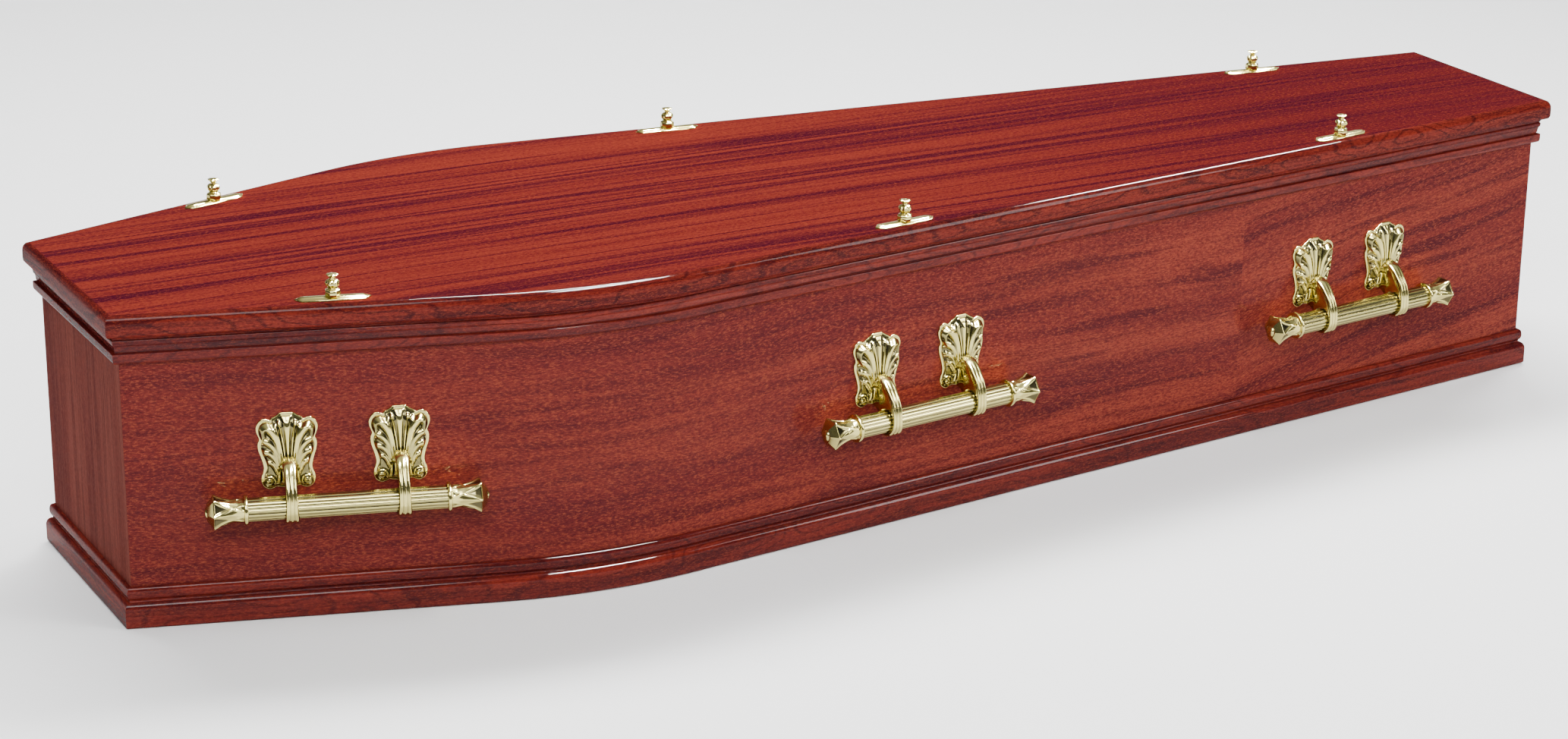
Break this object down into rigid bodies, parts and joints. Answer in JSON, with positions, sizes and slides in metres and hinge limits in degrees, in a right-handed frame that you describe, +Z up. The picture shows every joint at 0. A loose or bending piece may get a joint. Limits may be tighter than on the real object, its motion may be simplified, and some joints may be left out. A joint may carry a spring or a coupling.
{
  "type": "wooden coffin",
  "caption": "Six-sided veneered coffin with bent shoulders, moulded lid edge, rim and plinth, a lift-off lid with wreath holders, and bar handles along both sides.",
  "frame": {"origin": "on the floor under the middle of the coffin, at the bottom centre of its box", "axes": "+X from the head end to the foot end, +Y to the left-hand side of someone lying in it face up, +Z up"},
  "size_m": [1.932, 0.5922, 0.3883],
  "materials": {
    "wall_veneer": "gloss lacquered mahogany veneer, fine speckle",
    "lid_veneer": "gloss lacquered mahogany veneer, ribbon stripe",
    "moulding_veneer": "gloss lacquered mahogany moulding",
    "bare_board": "bare board, matt",
    "brassed_fittings": "polished pale brass plating"
  },
  "bodies": {
    "root": {"base_board": "bare_board", "side_board_right": "wall_veneer", "side_board_left": "wall_veneer", "head_board": "wall_veneer", "foot_board": "wall_veneer", "plinth_moulding_right": "moulding_veneer", "plinth_moulding_left": "moulding_veneer", "plinth_moulding_head": "moulding_veneer", "plinth_moulding_foot": "moulding_veneer", "rim_moulding_right": "moulding_veneer", "rim_moulding_left": "moulding_veneer", "rim_moulding_head": "moulding_veneer", "rim_moulding_foot": "moulding_veneer", "lid_moulding_right": "moulding_veneer", "lid_moulding_left": "moulding_veneer", "lid_moulding_head": "moulding_veneer", "lid_moulding_foot": "moulding_veneer", "lid_board": "lid_veneer", "handle_right_head_bracket_1": "brassed_fittings", "handle_right_head_bracket_2": "brassed_fittings", "handle_right_head_bar": "brassed_fittings", "handle_right_head_cap_1": "brassed_fittings", "handle_right_head_cap_2": "brassed_fittings", "handle_right_middle_bracket_1": "brassed_fittings", "handle_right_middle_bracket_2": "brassed_fittings", "handle_right_middle_bar": "brassed_fittings", "handle_right_middle_cap_1": "brassed_fittings", "handle_right_middle_cap_2": "brassed_fittings", "handle_right_foot_bracket_1": "brassed_fittings", "handle_right_foot_bracket_2": "brassed_fittings", "handle_right_foot_bar": "brassed_fittings", "handle_right_foot_cap_1": "brassed_fittings", "handle_right_foot_cap_2": "brassed_fittings", "handle_left_head_bracket_1": "brassed_fittings", "handle_left_head_bracket_2": "brassed_fittings", "handle_left_head_bar": "brassed_fittings", "handle_left_head_cap_1": "brassed_fittings", "handle_left_head_cap_2": "brassed_fittings", "handle_left_middle_bracket_1": "brassed_fittings", "handle_left_middle_bracket_2": "brassed_fittings", "handle_left_middle_bar": "brassed_fittings", "handle_left_middle_cap_1": "brassed_fittings", "handle_left_middle_cap_2": "brassed_fittings", "handle_left_foot_bracket_1": "brassed_fittings", "handle_left_foot_bracket_2": "brassed_fittings", "handle_left_foot_bar": "brassed_fittings", "handle_left_foot_cap_1": "brassed_fittings", "handle_left_foot_cap_2": "brassed_fittings", "wreath_holder_right_head_plate": "brassed_fittings", "wreath_holder_right_head_screw": "brassed_fittings", "wreath_holder_right_middle_plate": "brassed_fittings", "wreath_holder_right_middle_screw": "brassed_fittings", "wreath_holder_right_foot_plate": "brassed_fittings", "wreath_holder_right_foot_screw": "brassed_fittings", "wreath_holder_left_head_plate": "brassed_fittings", "wreath_holder_left_head_screw": "brassed_fittings", "wreath_holder_left_middle_plate": "brassed_fittings", "wreath_holder_left_middle_screw": "brassed_fittings", "wreath_holder_left_foot_plate": "brassed_fittings", "wreath_holder_left_foot_screw": "brassed_fittings"}
  },
  "joints": []
}
